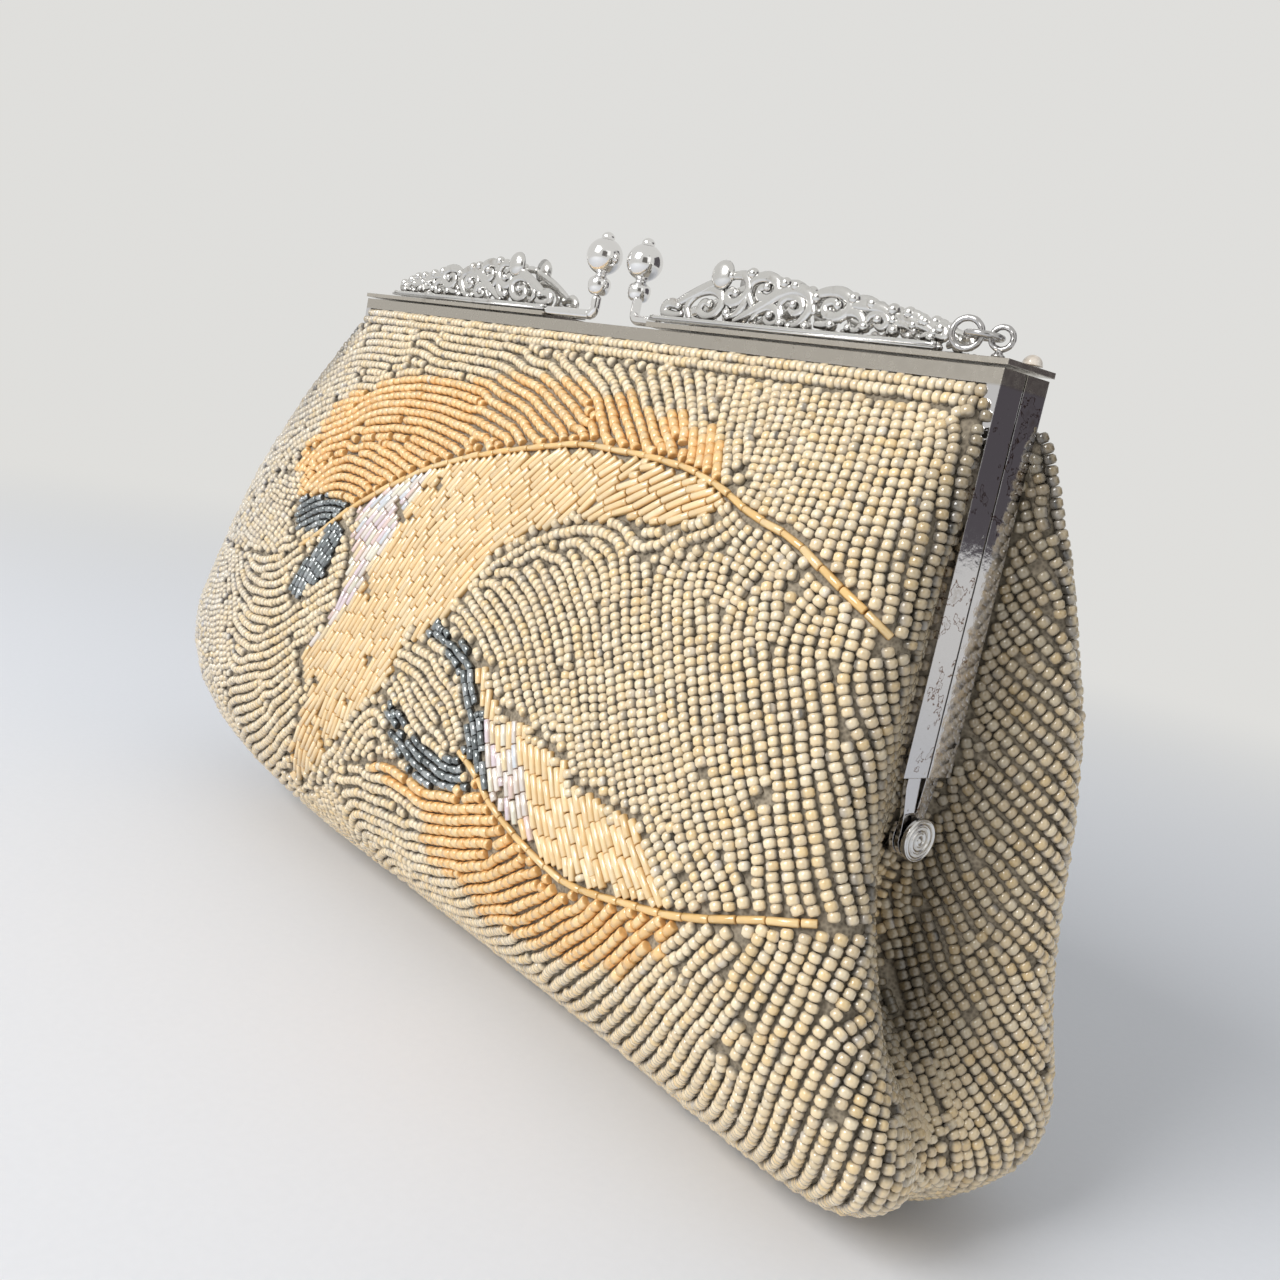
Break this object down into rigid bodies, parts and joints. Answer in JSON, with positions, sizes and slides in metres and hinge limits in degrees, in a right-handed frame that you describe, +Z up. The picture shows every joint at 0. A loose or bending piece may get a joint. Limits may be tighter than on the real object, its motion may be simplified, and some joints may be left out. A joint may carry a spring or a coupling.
{
  "type": "beaded handbag",
  "caption": "Small beaded evening handbag with a hinged metal frame, ball clasp, pierced crests and a sagging pouch.",
  "frame": {"origin": "middle of the base, under the middle of the closed frame", "axes": "+X along the frame's bar towards the end with the rings, -Y towards the front, +Z up"},
  "size_m": [0.22, 0.0548, 0.1364],
  "materials": {
    "nickel_plate": "worn satin nickel plate with tarnish",
    "rivet_steel": "dull wire",
    "pearl_rivet": "pearly",
    "glass_beads": "ivory, amber and grey glass beads on cloth",
    "lining_satin": "soft satin",
    "retaining_cord": "twisted cord"
  },
  "bodies": {
    "pouch": {"front_beaded_panel_lower": "glass_beads", "back_beaded_panel_lower": "glass_beads", "front_lining_lower": "lining_satin", "back_lining_lower": "lining_satin", "right_gusset": "glass_beads", "left_gusset": "glass_beads", "inner_slip_pocket": "lining_satin", "right_hinge_pin": "rivet_steel", "left_hinge_pin": "rivet_steel", "right_hinge_rosette": "nickel_plate", "left_hinge_rosette": "nickel_plate"},
    "front_frame": {"front_frame_half": "nickel_plate", "front_retaining_cord": "retaining_cord", "right_top_plate": "nickel_plate", "right_front_rail": "nickel_plate", "right_back_rail": "nickel_plate", "right_front_crest": "nickel_plate", "right_back_crest": "nickel_plate", "right_clasp_ball": "nickel_plate", "right_clasp_collar": "nickel_plate", "right_clasp_stem": "nickel_plate", "ring_eye": "rivet_steel", "plate_rivet_dome": "pearl_rivet", "front_beaded_panel_upper": "glass_beads", "front_lining_upper": "lining_satin"},
    "back_frame": {"back_frame_half": "nickel_plate", "back_retaining_cord": "retaining_cord", "left_top_plate": "nickel_plate", "left_front_rail": "nickel_plate", "left_back_rail": "nickel_plate", "left_front_crest": "nickel_plate", "left_back_crest": "nickel_plate", "left_clasp_ball": "nickel_plate", "left_clasp_collar": "nickel_plate", "left_clasp_stem": "nickel_plate", "back_beaded_panel_upper": "glass_beads", "back_lining_upper": "lining_satin"},
    "link": {"handle_link": "rivet_steel"},
    "ring": {"handle_ring": "rivet_steel"}
  },
  "joints": [
    {"name": "front_hinge", "type": "hinge", "parent": "pouch", "child": "front_frame", "pos_m": [0, 0, 0.0563], "axis": [1, 0, 0], "range_deg": [0, 42], "deforming": ["front_beaded_panel_upper", "front_lining_upper"]},
    {"name": "back_hinge", "type": "hinge", "parent": "pouch", "child": "back_frame", "pos_m": [0, 0, 0.0563], "axis": [-1, 0, 0], "range_deg": [0, 42], "deforming": ["back_beaded_panel_upper", "back_lining_upper"]},
    {"name": "link_swing", "type": "hinge", "parent": "front_frame", "child": "link", "pos_m": [0.0887, -0.0026, 0.12395], "axis": [-0.3907, 0.9205, 0], "range_deg": [0, 60]},
    {"name": "ring_swing", "type": "hinge", "parent": "link", "child": "ring", "pos_m": [0.08433, -0.00446, 0.12395], "axis": [-0.9205, -0.3907, 0], "range_deg": [-35, 35]}
  ],
  "couplings": [
    {"joint": "back_hinge", "follows": "front_hinge", "ratio": 1}
  ]
}
